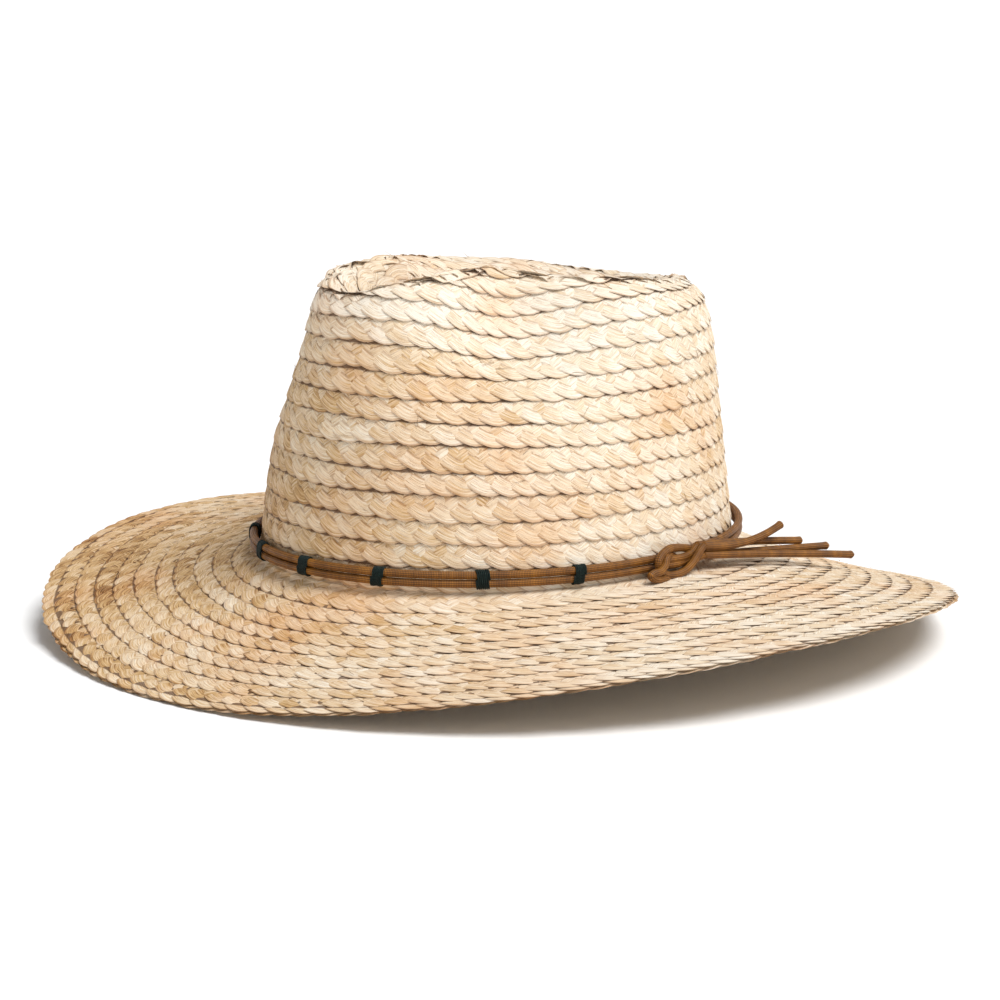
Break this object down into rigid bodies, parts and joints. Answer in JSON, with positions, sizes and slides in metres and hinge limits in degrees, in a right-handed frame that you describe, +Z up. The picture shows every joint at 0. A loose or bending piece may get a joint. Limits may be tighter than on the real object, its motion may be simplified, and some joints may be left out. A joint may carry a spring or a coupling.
{
  "type": "straw fedora hat",
  "caption": "Straw fedora of sewn braid with a teardrop crown, front pinches, a wide saddle brim and a knotted cord band, resting on its brim.",
  "frame": {"origin": "centre of the hat's bounding box, at its lowest point: the plane the brim rests on", "axes": "-Y towards the front of the hat, +X towards the wearer's left, +Z up"},
  "size_m": [0.3566, 0.367, 0.1478],
  "materials": {
    "straw": "flat plait of pale raffia straw, slightly glossy strands",
    "cord": "waxed woven cotton cord, satin",
    "thread": "waxed thread, satin"
  },
  "bodies": {
    "root": {"crown": "straw", "brim": "straw", "band_cord_lower": "cord", "band_cord_upper": "cord", "lashing_01": "thread", "lashing_02": "thread", "lashing_03": "thread", "lashing_04": "thread", "lashing_05": "thread", "lashing_06": "thread", "lashing_07": "thread", "lashing_08": "thread", "lashing_09": "thread", "lashing_10": "thread", "lashing_11": "thread", "lashing_12": "thread", "lashing_13": "thread", "knot": "cord", "tail_1": "cord", "tail_2": "cord", "tail_3": "cord", "tail_4": "cord"}
  },
  "joints": []
}
